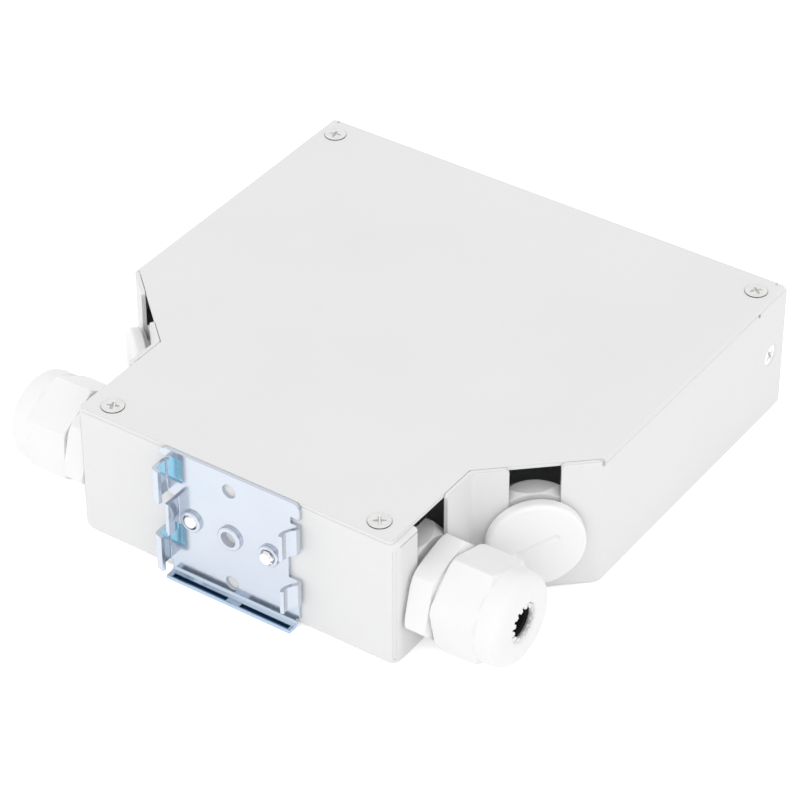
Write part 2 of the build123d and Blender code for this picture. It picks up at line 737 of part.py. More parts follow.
# Rail clip: plate, two curled hooks, two snap hooks, a stop tab and a foot
half_clip = clip_width / 2
half_sheet = clip_sheet / 2
plate_face = front - clip_sheet
clip_middle = front - half_sheet
hook_root = 15.8
plate_edge = 16.6
stop_low = middle_height - 3.5
stop_high = middle_height + 5.3
curl_levels = [(middle_height + 4.7, case_height - 5.8), (7.5, middle_height - 3.8)]
snap_levels = [(stop_high + 0.4, case_height - 3.1), (3.9, stop_low - 0.5)]
clip_plane = Plane(origin=(0, plate_face, 0), x_dir=(1, 0, 0), z_dir=(0, -1, 0))
with BuildPart() as din_clip:
    with BuildSketch(clip_plane) as clip_shape:
        with Locations((0, middle_height)):
            Rectangle(clip_width, case_height)
        fillet(clip_shape.vertices(), clip_corner)
    extrude(amount=-clip_sheet)
    # Edges cut back beside the hooks
    for side, high in ((1, case_height - 4.0), (-1, case_height - 2.0)):
        with Locations((side * half_clip, front, 0)):
            Box(2 * (half_clip - plate_edge), 4 * clip_sheet, high,
                align=(Align.CENTER, Align.CENTER, Align.MIN), mode=Mode.SUBTRACT)
    with Locations((hook_root, front, curl_levels[1][1])):
        Box(4.0, 4 * clip_sheet, curl_levels[0][0] - curl_levels[1][1] - 1.4,
            align=(Align.MIN, Align.CENTER, Align.MIN), mode=Mode.SUBTRACT)
    with Locations((-stop_side, front, stop_low)):
        Box(4.0, 4 * clip_sheet, stop_high - stop_low,
            align=(Align.MAX, Align.CENTER, Align.MIN), mode=Mode.SUBTRACT)
    # Lower right corner of the plate
    with Locations((hook_root, front, 2.6)):
        Box(2.6, clip_sheet, curl_levels[1][0] - 2.6, align=(Align.MIN, Align.MAX, Align.MIN))
    # Curled hooks
    for low, high in curl_levels:
        with BuildSketch(Plane.XY.offset(low)):
            with BuildLine():
                Polyline(*strip([
                    (hook_root - 0.8, clip_middle),
                    (hook_side - 0.1, clip_middle),
                    (hook_side + half_sheet - 0.2, clip_middle - 0.3),
                    (hook_side + half_sheet, clip_middle - 0.9),
                    (hook_side + half_sheet - 0.2, clip_middle - 1.5),
                    (hook_side - 0.6, clip_middle - 0.5 * hook_reach),
                    (hook_side - 1.1, clip_middle - 0.7 * hook_reach),
                    (hook_side - 1.2, clip_middle - 0.9 * hook_reach),
                    (hook_side - 0.9, clip_middle - half_sheet - hook_reach + 0.115),
                ], clip_sheet), close=True)
            make_face()
        extrude(amount=high - low)
    # Snap hooks
    for low, high in snap_levels:
        with BuildSketch(Plane.XY.offset(low)):
            with BuildLine():
                Polyline(*strip([
                    (-stop_side, clip_middle),
                    (-(snap_side - 0.1), clip_middle),
                    (-(snap_side + half_sheet - 0.2), clip_middle - 0.2),
                    (-(snap_side + half_sheet), clip_middle - 0.7),
                    (-(snap_side + half_sheet), clip_middle - snap_reach + 0.5),
                    (-(snap_side + half_sheet - 0.3), clip_middle - snap_reach - 0.1),
                    (-(snap_side + 0.3 - snap_lip), clip_middle - snap_reach - 0.6),
                ], clip_sheet), close=True)
            make_face()
        extrude(amount=high - low)
    # Stop tab
    with BuildSketch(Plane.XY.offset(stop_low)):
        with BuildLine():
            Polyline(*strip([
                (-(stop_side - 2.2), clip_middle),
                (-(stop_side - 0.1), clip_middle),
                (-(stop_side + half_sheet - 0.1), clip_middle - 0.2),
                (-(stop_side + half_sheet), clip_middle - 0.7),
                (-(stop_side + half_sheet), clip_middle - half_sheet - stop_reach),
            ], clip_sheet), close=True)
        make_face()
    extrude(amount=stop_high - stop_low)
    # Foot along the lower edge
    with BuildSketch(Plane.YZ.offset(-plate_edge)):
        with BuildLine():
            Polyline(*strip([
                (clip_middle, 4.4),
                (clip_middle, 1.3 + half_sheet),
                (clip_middle - 0.4, 0.4 + half_sheet),
                (clip_middle - 1.3, half_sheet),
                (clip_middle - half_sheet - foot_reach, half_sheet),
            ], clip_sheet), close=True)
        make_face()
    extrude(amount=2 * plate_edge + 1.0)
    for low, high in ((-15.3, -0.3), (3.4, 16.8)):
        with Locations(((low + high) / 2, plate_face - foot_slot_middle, foot_slot_floor)):
            Box(high - low, foot_slot, 3, align=(Align.CENTER, Align.CENTER, Align.MIN),
                mode=Mode.SUBTRACT)
    # Pressed rectangles beside the snap hooks
    for level in (case_height - 4.9, 11.9):
        with Locations((-(plate_edge - press_width / 2 + 0.2), plate_face, level)):
            Box(press_width, 2 * press_depth, press_height, mode=Mode.SUBTRACT)
    # Collars and holes
    for side in (-1, 1):
        with Locations((side * clip_screw_pitch / 2, plate_face, middle_height)):
            Cylinder(clip_collar / 2, clip_collar_height, rotation=(90, 0, 0),
                     align=(Align.CENTER, Align.CENTER, Align.MIN))
        with Locations((side * clip_screw_pitch / 2, plate_face, middle_height)):
            Cylinder(clip_screw_thread / 2, 10, rotation=(90, 0, 0), mode=Mode.SUBTRACT)
    with Locations((0, plate_face, middle_height)):
        Cylinder(clip_middle_collar / 2, clip_collar_height, rotation=(90, 0, 0),
                 align=(Align.CENTER, Align.CENTER, Align.MIN))
        Cylinder(clip_middle_thread / 2, 10, rotation=(90, 0, 0), mode=Mode.SUBTRACT)
    fillet(
        din_clip.edges().filter_by(GeomType.CIRCLE).filter_by(
            lambda e: abs(e.center().Y - (plate_face - clip_collar_height)) < 0.01
            and e.radius > (clip_collar - 0.1) / 2),
        clip_collar_round,
    )
    for level in (clip_hole_edge, case_height - clip_hole_edge):
        with Locations((0, plate_face, level)):
            Cylinder(clip_hole / 2, 10, rotation=(90, 0, 0), mode=Mode.SUBTRACT)
din_clip.part.label = "din_clip"
export_step(din_clip.part, "parts/din_clip.step")
print("clip", din_clip.part.volume, len(din_clip.part.solids()), din_clip.part.is_valid)

# Clip screws, head inside the case, end through the collar
for name, side, screw_end in (("left", -1, clip_screw_end_left), ("right", 1, clip_screw_end_right)):
    with BuildPart() as clip_screw:
        with Locations((side * clip_screw_pitch / 2, front + sheet, middle_height)):
            Cylinder(clip_screw_head / 2, clip_screw_head_height, rotation=(90, 0, 0),
                     align=(Align.CENTER, Align.CENTER, Align.MAX))
            Cylinder(clip_screw_thread / 2, sheet + clip_sheet + clip_collar_height + screw_end,
                     rotation=(90, 0, 0), align=(Align.CENTER, Align.CENTER, Align.MIN))
        fillet(clip_screw.faces().sort_by(Axis.Y)[-1].edges(), clip_screw_head_height / 2)
        chamfer(clip_screw.faces().sort_by(Axis.Y)[0].edges(), 0.35)
        with Locations((side * clip_screw_pitch / 2, front + sheet + clip_screw_head_height,
                        middle_height)):
            Box(clip_screw_head * recess_share, clip_screw_head_height, 0.9, mode=Mode.SUBTRACT)
            Box(0.9, clip_screw_head_height, clip_screw_head * recess_share, mode=Mode.SUBTRACT)
    clip_screw.part.label = "clip_screw_" + name
    export_step(clip_screw.part, "parts/clip_screw_" + name + ".step")
print("clip screw", clip_screw.part.volume, len(clip_screw.part.solids()))

# Splice tray on two standoffs
tray_level = sheet + standoff_height
tray_half_front = half_narrow - tray_front_side
tray_half_back = half_wide - tray_side_gap
tray_run = (tray_half_back - tray_half_front) / tan(turn)
for name, y in tray_screws.items():
    with BuildPart() as standoff:
        with Locations((0, y, 0)):
            Cylinder(tray_screw_thread / 2, sheet, align=(Align.CENTER, Align.CENTER, Align.MIN))
        with Locations((0, y, sheet)):
            Cylinder(standoff_diameter / 2, standoff_height,
                     align=(Align.CENTER, Align.CENTER, Align.MIN))
        with Locations((0, y, sheet + 0.8)):
            Cylinder(tray_screw_thread / 2, 2 * standoff_height, mode=Mode.SUBTRACT,
                     align=(Align.CENTER, Align.CENTER, Align.MIN))
    standoff.part.label = "standoff_" + name
    export_step(standoff.part, "parts/standoff_" + name + ".step")


def tray_outline(inset):
    """Half outline of the splice tray on the +X side."""
    return [
        (tray_half_front - inset * lean, tray_first + inset),
        (tray_half_back - inset, tray_first + tray_run + inset * lean),
        (tray_half_back - inset, tray_last - inset),
    ]


with BuildPart() as splice_tray:
    with BuildSketch(Plane.XY.offset(tray_level)) as tray_shape:
        with BuildLine():
            Polyline(*both_sides(tray_outline(0)), close=True)
        make_face()
        fillet(tray_shape.vertices(), tray_corner)
    extrude(amount=tray_height)
    with BuildSketch(Plane.XY.offset(tray_level + tray_floor)) as tray_hollow:
        with BuildLine():
            Polyline(*both_sides(tray_outline(tray_wall)), close=True)
        make_face()
        fillet(tray_hollow.vertices(), tray_corner - tray_wall)
    extrude(amount=tray_height, mode=Mode.SUBTRACT)
    # Coil drums and screw posts
    for side in (-1, 1):
        with Locations((side * drum_offset, tray_middle + drum_shift, tray_level + tray_floor)):
            Cylinder(drum_diameter / 2, tray_height - tray_floor - drum_drop,
                     align=(Align.CENTER, Align.CENTER, Align.MIN))
            Cylinder(drum_diameter / 2 - drum_wall, tray_height,
                     align=(Align.CENTER, Align.CENTER, Align.MIN), mode=Mode.SUBTRACT)
    for y in tray_screws.values():
        with Locations((0, y, tray_level)):
            Cylinder(post_diameter / 2, tray_height, align=(Align.CENTER, Align.CENTER, Align.MIN))
            Cylinder(tray_screw_thread / 2 + tray_screw_play, 30, mode=Mode.SUBTRACT)
    # Fibre entries in the rear wall and in the front wall
    for x, y in (
        (-38, tray_last), (0, tray_last), (38, tray_last),
        (-15, tray_first), (15, tray_first),
    ):
        with Locations((x, y, tray_level + tray_floor + 2)):
            Box(fibre_slot, 4 * tray_wall, tray_height, align=(Align.CENTER, Align.CENTER, Align.MIN),
                mode=Mode.SUBTRACT)
splice_tray.part.label = "splice_tray"
export_step(splice_tray.part, "parts/splice_tray.step")
print("tray", splice_tray.part.volume, len(splice_tray.part.solids()))

# Splice comb in the middle of the tray, between the coil drums
comb_length = tray_last - tray_first - 2 * comb_end_gap
comb_pitch = (comb_width - comb_wall) / (comb_count - 1)
with BuildPart() as splice_comb:
    with Locations((0, tray_middle, tray_level + tray_floor)):
        Box(comb_width, comb_length, comb_base, align=(Align.CENTER, Align.CENTER, Align.MIN))
    for i in range(comb_count):
        with Locations(((i - (comb_count - 1) / 2) * comb_pitch, tray_middle, tray_level + tray_floor)):
            Box(comb_wall, comb_length, comb_height, align=(Align.CENTER, Align.CENTER, Align.MIN))
splice_comb.part.label = "splice_comb"
export_step(splice_comb.part, "parts/splice_comb.step")

# Clear cover on the tray walls
with BuildPart() as tray_cover:
    with BuildSketch(Plane.XY.offset(tray_level + tray_height)) as cover_shape:
        with BuildLine():
            Polyline(*both_sides(tray_outline(tray_cover_gap)), close=True)
        make_face()
        fillet(cover_shape.vertices(), tray_corner - tray_cover_gap)
        for y in tray_screws.values():
            with Locations((0, y)):
                Circle(tray_screw_thread / 2 + tray_screw_play, mode=Mode.SUBTRACT)
        for side in (-1, 1):
            with Locations((side * drum_offset, tray_middle + drum_shift)):
                Circle(cover_finger_hole / 2, mode=Mode.SUBTRACT)
    extrude(amount=tray_cover_thickness)
tray_cover.part.label = "tray_cover"
export_step(tray_cover.part, "parts/tray_cover.step")

# Tray screws through the cover and the posts into the standoffs
cover_top = tray_level + tray_height + tray_cover_thickness
for name, y in tray_screws.items():
    with BuildPart() as tray_screw:
        with Locations((0, y, cover_top)):
            Cylinder(tray_screw_head / 2, tray_screw_head_height,
                     align=(Align.CENTER, Align.CENTER, Align.MIN))
            Cylinder(tray_screw_thread / 2, tray_screw_length,
                     align=(Align.CENTER, Align.CENTER, Align.MAX))
        fillet(tray_screw.faces().sort_by(Axis.Z)[-1].edges(), 0.9)
        with Locations((0, y, cover_top + tray_screw_head_height)):
            Box(tray_screw_head * recess_share, 0.8, 2.2, mode=Mode.SUBTRACT)
            Box(0.8, tray_screw_head * recess_share, 2.2, mode=Mode.SUBTRACT)
    tray_screw.part.label = "tray_screw_" + name
    export_step(tray_screw.part, "parts/tray_screw_" + name + ".step")
print("comb", splice_comb.part.volume, "cover", tray_cover.part.volume)
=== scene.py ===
import json
import math

import bmesh
import bpy
import numpy as np
from mathutils import Matrix, Vector


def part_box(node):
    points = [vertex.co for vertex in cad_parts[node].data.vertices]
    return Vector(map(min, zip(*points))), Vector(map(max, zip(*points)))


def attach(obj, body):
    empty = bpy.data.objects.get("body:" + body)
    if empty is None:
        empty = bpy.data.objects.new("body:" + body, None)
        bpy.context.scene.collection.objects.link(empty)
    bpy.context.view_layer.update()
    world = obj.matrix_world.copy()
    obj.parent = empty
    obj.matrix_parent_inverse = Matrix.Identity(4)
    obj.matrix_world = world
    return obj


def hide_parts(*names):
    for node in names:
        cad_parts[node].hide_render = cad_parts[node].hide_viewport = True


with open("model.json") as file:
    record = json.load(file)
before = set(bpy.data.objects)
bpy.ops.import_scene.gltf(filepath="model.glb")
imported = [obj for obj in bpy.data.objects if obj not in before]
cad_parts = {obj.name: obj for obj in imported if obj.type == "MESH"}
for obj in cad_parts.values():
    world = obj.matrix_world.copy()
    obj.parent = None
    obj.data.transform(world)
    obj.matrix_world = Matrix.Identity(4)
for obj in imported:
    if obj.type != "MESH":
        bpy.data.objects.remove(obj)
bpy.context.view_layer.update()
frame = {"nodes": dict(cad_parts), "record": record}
nodes = frame["nodes"]
mm = 0.001
fullTurn = 2 * math.pi
sides = ((-1, "left"), (1, "right"))

# Node helpers shared by the materials and the Geometry Nodes trees


def fill(tree, node, inputs):
    for key, value in inputs.items():
        if hasattr(value, "is_output"):
            tree.links.new(value, node.inputs[key])
        else:
            node.inputs[key].default_value = value


def addNode(tree, kind, inputs=None, **settings):
    node = tree.nodes.new(kind)
    for key, value in settings.items():
        setattr(node, key, value)
    fill(tree, node, inputs or {})
    return node


def mathNode(tree, operation, *values):
    return addNode(tree, "ShaderNodeMath", dict(enumerate(values)), operation=operation).outputs[0]


def vectorOf(tree, x, y, z):
    return addNode(tree, "ShaderNodeCombineXYZ", {"X": x, "Y": y, "Z": z}).outputs[0]


def partsOf(tree, vector):
    return addNode(tree, "ShaderNodeSeparateXYZ", {"Vector": vector}).outputs


def newMaterial(name):
    material = bpy.data.materials.new(name)
    material.use_nodes = True
    tree = material.node_tree
    tree.nodes.clear()
    shader = addNode(tree, "ShaderNodeBsdfPrincipled")
    addNode(tree, "ShaderNodeOutputMaterial", {"Surface": shader.outputs[0]})
    place = addNode(tree, "ShaderNodeTexCoord").outputs["Object"]
    return material, tree, shader, place


def noise(tree, place, scale, detail=3.0, roughness=0.5):
    node = addNode(tree, "ShaderNodeTexNoise",
                   {"Vector": place, "Scale": scale, "Detail": detail, "Roughness": roughness})
    return node.outputs["Fac"]


def tones(tree, factor, stops):
    ramp = addNode(tree, "ShaderNodeValToRGB", {"Fac": factor})
    while len(ramp.color_ramp.elements) < len(stops):
        ramp.color_ramp.elements.new(0.5)
    for element, (position, colour) in zip(ramp.color_ramp.elements, stops):
        element.position = position
        element.color = (*colour, 1)
    return ramp.outputs["Color"]


def spread(tree, factor, low, high, start=0.3, end=0.7):
    node = addNode(tree, "ShaderNodeMapRange", {
        "Value": factor, "From Min": start, "From Max": end, "To Min": low, "To Max": high})
    return node.outputs["Result"]


def shaded(colour, share):
    return tuple(c * share for c in colour)


# Materials. In each dictionary, grain is the strength and the depth of the fine bumps, and edge is
# the radius at which sharp corners look broken, both lengths in millimetres.


def grainyNormal(tree, height, kind):
    strength, depth = kind["grain"]
    rounded = addNode(tree, "ShaderNodeBevel", {"Radius": kind["edge"] * mm}, samples=4)
    bump = addNode(tree, "ShaderNodeBump", {"Strength": strength, "Distance": depth * mm,
                                            "Height": height, "Normal": rounded.outputs[0]})
    return bump.outputs[0]


paint = {"light": (0.803, 0.803, 0.803), "dark": (0.785, 0.786, 0.787), "roughness": (0.42, 0.52),
         "cloudScale": 28, "speckScale": 2600, "peelScale": 850, "specular": 0.45,
         "grain": (0.09, 0.04), "edge": 0.22}


def powderCoat():
    material, tree, shader, place = newMaterial("casePaint")
    cloud = noise(tree, place, paint["cloudScale"], 2)
    speck = noise(tree, place, paint["speckScale"], 2)
    average = mathNode(tree, "MULTIPLY", mathNode(tree, "ADD", cloud, speck), 0.5)
    peel = noise(tree, place, paint["peelScale"], 3, 0.6)
    fill(tree, shader, {
        "Base Color": tones(tree, average, [(0.36, paint["dark"]), (0.58, paint["light"])]),
        "Roughness": spread(tree, peel, *paint["roughness"]),
        "Specular IOR Level": paint["specular"],
        "Normal": grainyNormal(tree, peel, paint)})
    return material


# The marks are placed in millimetres from the sides of the clip's box, but in X from the middle of
# the part. Three numbers are a middle, a half size and half the width of the soft edge.
# The colour for the foot grooves is painted shade, dark navy for the shadow inside them
# The colour for the pressed rectangles is a painted reflection, made lighter against the shade of the
# hooks
zinc = {"pale": (0.60, 0.645, 0.715), "violet": (0.595, 0.635, 0.71), "cyan": (0.57, 0.64, 0.72),
        "foot": (0.44, 0.57, 0.72), "pressedPaintedReflection": (0.46, 0.84, 1.0), "groovePaintedShade": (0.012, 0.06, 0.14),
        "metallic": 0.8, "roughness": (0.13, 0.19), "grain": (0.04, 0.02), "edge": 0.12,
        "cloudScale": 45, "fineScale": 700, "footShare": 0.8, "footRise": (0.6, 2.6),
        "pressedUnderTop": 4.9, "pressedOverFoot": 11.9, "pressedHeight": (3.1, 0.25),
        "pressedAcross": (-14.85, 1.9, 0.25), "pressedFace": (0.72, 0.35, 0.15),
        "grooveRuns": ((-15.4, -0.2), (3.3, 16.9)), "grooveEnd": 0.1,
        "grooveFace": (2.6, 0.7, 0.04), "grooveTop": (0.6, 0.85)}


def blueZinc():
    material, tree, shader, place = newMaterial("blueZinc")
    low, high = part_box("din_clip")
    axes = partsOf(tree, place)

    def closeTo(value, middle, half, soft):
        away = mathNode(tree, "ABSOLUTE", mathNode(tree, "SUBTRACT", value, middle))
        return spread(tree, away, 1, 0, (half - soft) * mm, (half + soft) * mm)

    def fadesUp(top, start, end):
        return spread(tree, axes["Z"], top, 0, low.z + start * mm, low.z + end * mm)

    def covered(share, under, colour):
        return addNode(tree, "ShaderNodeMixRGB",
                       {"Fac": share, "Color1": under, "Color2": (*colour, 1)}).outputs[0]

    cloud = noise(tree, place, zinc["cloudScale"], 2)
    sheen = tones(tree, cloud, [(0.36, zinc["cyan"]), (0.5, zinc["pale"]), (0.66, zinc["violet"])])
    # The clip is darker and bluer along its lowest few millimetres, by the foot
    colour = covered(fadesUp(zinc["footShare"], *zinc["footRise"]), sheen, zinc["foot"])
    # Two pressed rectangles beside the snap hooks, given a bright saturated blue as a painted
    # reflection, made lighter to offset the shade of the hooks
    heights = (high.z - zinc["pressedUnderTop"] * mm, low.z + zinc["pressedOverFoot"] * mm)
    rows = [closeTo(axes["Z"], height, *zinc["pressedHeight"]) for height in heights]
    across, halfAcross, softAcross = zinc["pressedAcross"]
    behind, halfFace, softFace = zinc["pressedFace"]
    pressedPaintedReflection = mathNode(tree, "MULTIPLY", mathNode(tree, "MAXIMUM", *rows),
                       closeTo(axes["X"], across * mm, halfAcross, softAcross))
    pressedPaintedReflection = mathNode(tree, "MULTIPLY", pressedPaintedReflection,
                       closeTo(axes["Y"], high.y - behind * mm, halfFace, softFace))
    colour = covered(pressedPaintedReflection, colour, zinc["pressedPaintedReflection"])
    # Painted shade: the grooves of the foot are painted dark navy to stand for the shadow inside them
    runs = [closeTo(axes["X"], (a + b) / 2 * mm, (b - a) / 2, zinc["grooveEnd"])
            for a, b in zinc["grooveRuns"]]
    behind, halfFace, softFace = zinc["grooveFace"]
    groovePaintedShade = mathNode(tree, "MULTIPLY", mathNode(tree, "MAXIMUM", *runs),
                      closeTo(axes["Y"], high.y - behind * mm, halfFace, softFace))
    groovePaintedShade = mathNode(tree, "MULTIPLY", groovePaintedShade, fadesUp(1, *zinc["grooveTop"]))
    colour = covered(groovePaintedShade, colour, zinc["groovePaintedShade"])
    fine = noise(tree, place, zinc["fineScale"], 4)
    fill(tree, shader, {
        "Base Color": colour, "Metallic": zinc["metallic"],
        "Roughness": spread(tree, fine, *zinc["roughness"]),
        "Normal": grainyNormal(tree, fine, zinc)})
    return material


screwSteel = {"colour": (0.82, 0.82, 0.81), "dark": 0.93, "roughness": (0.18, 0.26), "fineScale": 600,
              "grain": (0.05, 0.02), "edge": 0.06}


def steel():
    material, tree, shader, place = newMaterial("screwSteel")
    fine = noise(tree, place, screwSteel["fineScale"], 3)
    dark = shaded(screwSteel["colour"], screwSteel["dark"])
    fill(tree, shader, {
        "Base Color": tones(tree, fine, [(0.35, dark), (0.6, screwSteel["colour"])]),
        "Metallic": 1.0, "Roughness": spread(tree, fine, *screwSteel["roughness"]),
        "Normal": grainyNormal(tree, fine, screwSteel)})
    return material


# What the moulded pieces share; the table under it holds what differs
moulded = {"cloudScale": 60, "fineScale": 900, "specular": 0.3, "grain": (0.10, 0.03), "edge": 0.15,
           "variation": 0.03}
plastics = {
    "gland_plastic": {"name": "glandWhite", "colour": (0.895, 0.895, 0.895), "roughness": (0.35, 0.47),
                      "variation": 0.015},
    "plug_plastic": {"name": "plugWhite", "colour": (0.935, 0.935, 0.935), "roughness": (0.37, 0.49),
                     "variation": 0.015},
    "seal_rubber": {"name": "sealGrey", "colour": (0.62, 0.62, 0.62), "roughness": (0.55, 0.67),
                    "fineScale": 1400, "grain": (0.2, 0.03)},
    "insert_rubber": {"name": "sleeveBlack", "colour": (0.012, 0.012, 0.012), "roughness": (0.55, 0.67),
                      "fineScale": 1200, "grain": (0.2, 0.03)},
    "adapter_plastic": {"name": "adapterBlue", "colour": (0.045, 0.16, 0.44), "roughness": (0.25, 0.37),
                        "fineScale": 700, "grain": (0.08, 0.03), "edge": 0.12, "variation": 0.12},
    "cap_plastic": {"name": "capWhite", "colour": (0.80, 0.80, 0.77), "roughness": (0.37, 0.49)},
    "tray_plastic": {"name": "trayGrey", "colour": (0.50, 0.51, 0.52), "roughness": (0.40, 0.52),
                     "fineScale": 800, "grain": (0.15, 0.03), "edge": 0.2, "variation": 0.06},
    "comb_plastic": {"name": "combDark", "colour": (0.035, 0.037, 0.04), "roughness": (0.50, 0.62),
                     "grain": (0.2, 0.03), "edge": 0.12, "variation": 0.2},
}


def plastic(given):
    kind = {**moulded, **given}
    material, tree, shader, place = newMaterial(kind["name"])
    cloud = noise(tree, place, kind["cloudScale"], 3)
    dark = shaded(kind["colour"], 1 - kind["variation"])
    fine = noise(tree, place, kind["fineScale"], 3)
    fill(tree, shader, {
        "Base Color": tones(tree, cloud, [(0.36, dark), (0.62, kind["colour"])]),
        "Roughness": spread(tree, fine, *kind["roughness"]),
        "Specular IOR Level": kind["specular"],
        "Normal": grainyNormal(tree, fine, kind)})
    return material


cover = {"dark": (0.82, 0.86, 0.88), "light": (0.93, 0.95, 0.96), "roughness": (0.10, 0.18),
         "alpha": 0.35, "cloudScale": 70, "fineScale": 900, "grain": (0.04, 0.02), "edge": 0.1}


def clearPlastic():
    material, tree, shader, place = newMaterial("coverClear")
    cloud = noise(tree, place, cover["cloudScale"], 3)
    fine = noise(tree, place, cover["fineScale"], 2)
    fill(tree, shader, {
        "Base Color": tones(tree, cloud, [(0.3, cover["dark"]), (0.7, cover["light"])]),
        "Roughness": spread(tree, fine, *cover["roughness"]), "Alpha": cover["alpha"],
        "Normal": grainyNormal(tree, fine, cover)})
    return material


finishes = {slot: plastic(kind) for slot, kind in plastics.items()}
finishes.update({"case_paint": powderCoat(), "blue_zinc": blueZinc(), "screw_steel": steel(),
                 "cover_plastic": clearPlastic()})
slotOf = {s["node"]: s["material_slot"] for s in frame["record"]["subparts"]}


def paintWith(piece, slot):
    piece.data.materials.clear()
    piece.data.materials.append(finishes[slot])


for name, node in nodes.items():
    paintWith(node, slotOf[name])
print("materials:", len(finishes))

# Mesh helpers: a piece is a stack of rings round its axis, joined by quads. In the dictionaries of
# the pieces a profile lists distances along the axis with their radii, a band is where rings start
# and end and how many there are, and a thread is its start, end, outer radius and depth.


def linked(name, data):
    piece = bpy.data.objects.new(name, data)
    bpy.context.scene.collection.objects.link(piece)
    return piece


def meshObject(name, points, faces, smoothAngle):
    mesh = bpy.data.meshes.new(name)
    mesh.from_pydata([tuple(p) for p in points], [], faces)
    work = bmesh.new()
    work.from_mesh(mesh)
    bmesh.ops.remove_doubles(work, verts=work.verts, dist=1e-7)
    bmesh.ops.recalc_face_normals(work, faces=work.faces)
    work.to_mesh(mesh)
    work.free()
    mesh.shade_smooth()
    mesh.set_sharp_from_angle(angle=math.radians(smoothAngle))
    return linked(name, mesh)


def roundAngles(segments):
    return np.linspace(0, fullTurn, segments, endpoint=False)


def ringAt(distance, radii, angles):
    # distance runs along the axis and comes first in each point
    distance = np.broadcast_to(distance, angles.shape)
    return np.stack([distance, radii * np.cos(angles), radii * np.sin(angles)], 1)


def ringFaces(ringCount, segments, closed):
    faces = []
    for i in range(ringCount if closed else ringCount - 1):
        a, b = i * segments, (i + 1) % ringCount * segments
        for j in range(segments):
            k = (j + 1) % segments
            faces.append((a + j, a + k, b + k, b + j))
    return faces


def ringsAlong(profile, angles):
    return [ringAt(distance, radius, angles) for distance, radius in profile]


def bandsOf(kind):
    return np.concatenate([np.linspace(*band) for band in kind["bands"]])


def threadRadii(distance, angles, radius, depth, pitch):
    phase = np.mod(distance / pitch + angles / fullTurn, 1.0)
    return radius - depth * 2 * abs(phase - 0.5)


def threadRings(span, kind, angles):
    begin, finish, radius, depth = span
    step = math.copysign(kind["pitch"] / kind["ringsPerTurn"], finish - begin)
    return [ringAt(d, threadRadii(d, angles, radius, depth, kind["pitch"]), angles)
            for d in np.arange(begin, finish, step)]


def softMin(a, b, sharpness):
    return -np.log(np.exp(-sharpness * a) + np.exp(-sharpness * b)) / sharpness


def softMax(a, b, sharpness):
    return -softMin(-a, -b, sharpness)


def hexRadius(angles, flats, corner):
    turned = np.mod(angles - math.radians(corner), math.pi / 3) - math.pi / 6
    return flats / 2 / np.cos(turned)


def arc(centre, radius, start, end, steps):
    turns = np.radians(np.linspace(start, end, steps))
    return [(centre[0] + radius * math.cos(a), centre[1] + radius * math.sin(a)) for a in turns]


def nodeBox(name):
    low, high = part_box(name)
    return (low + high) / 2, low, high


def dress(piece, body, slot, replaced=()):
    paintWith(piece, slot)
    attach(piece, body)
    if replaced:
        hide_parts(*replaced)


def grown(tree, values, name):
    # Runs a Geometry Nodes tree on an empty mesh and returns the result as a plain mesh object
    holder = linked(name + "Holder", bpy.data.meshes.new(name + "Holder"))
    modifier = holder.modifiers.new("grow", "NODES")
    modifier.node_group = tree
    for item in tree.interface.items_tree:
        if item.in_out == "INPUT":
            modifier[item.identifier] = values[item.name]
    depsgraph = bpy.context.evaluated_depsgraph_get()
    mesh = bpy.data.meshes.new_from_object(holder.evaluated_get(depsgraph), depsgraph=depsgraph)
    bpy.data.objects.remove(holder)
    mesh.name = name
    return linked(name, mesh)


def newTree(name, sockets):
    tree = bpy.data.node_groups.new(name, "GeometryNodeTree")
    tree.interface.new_socket(name="Geometry", in_out="OUTPUT", socket_type="NodeSocketGeometry")
    for label, kind in sockets:
        tree.interface.new_socket(name=label, in_out="INPUT", socket_type="NodeSocket" + kind)
    return tree, addNode(tree, "NodeGroupInput").outputs


def closeTree(tree, geometry, material):
    real = addNode(tree, "GeometryNodeRealizeInstances", {0: geometry}).outputs[0]
    painted = addNode(tree, "GeometryNodeSetMaterial", {"Geometry": real, "Material": material})
    addNode(tree, "NodeGroupOutput", {0: painted.outputs[0]})


# Screws: a head with a cross recess and a threaded shank, drawn with its top at the origin.
# headLow is how far the underside of the head lies below that top.

screws = {
    "lid": {"headRadius": 2.64, "headLow": 1.25, "neck": 1.42, "shank": 1.42, "length": 6.0,
            "pitch": 0.5, "recess": 1.55, "wing": 0.78, "depth": 0.95, "crown": 0.14},
    "side": {"headRadius": 2.58, "headLow": 1.1, "neck": 1.42, "shank": 1.42, "length": 5.8,
             "pitch": 0.5, "recess": 1.6, "wing": 0.8, "depth": 1.0, "crown": 0.12},
    "clip": {"headRadius": 3.2, "headLow": 2.2, "neck": 3.1, "shank": 1.88, "length": 7.0,
             "pitch": 0.6, "recess": 1.9, "wing": 0.95, "depth": 1.2, "crown": 1.9},
    "tray": {"headRadius": 2.8, "headLow": 2.2, "neck": 2.7, "shank": 1.5, "length": 15.0,
             "pitch": 0.5, "recess": 1.7, "wing": 0.9, "depth": 1.1, "crown": 1.6},
}
cross = {"width": 1.15, "taper": 0.4, "wallSlope": 0.14, "endSlope": 0.25, "core": 0.775,
         "coreSlope": 0.18, "bowl": 0.45}
screwForm = {"segments": 96, "recessRings": 22, "recessMargin": 0.2, "rimRings": 8, "rimMargin": 0.35,
             "headEdge": 0.12, "step": 0.02, "threadStart": 0.05, "threadEnd": 0.35,
             "threadShare": 0.32, "ringsPerTurn": 6, "tip": 0.76, "smoothAngle": 40}
headSink = 0.18 * mm


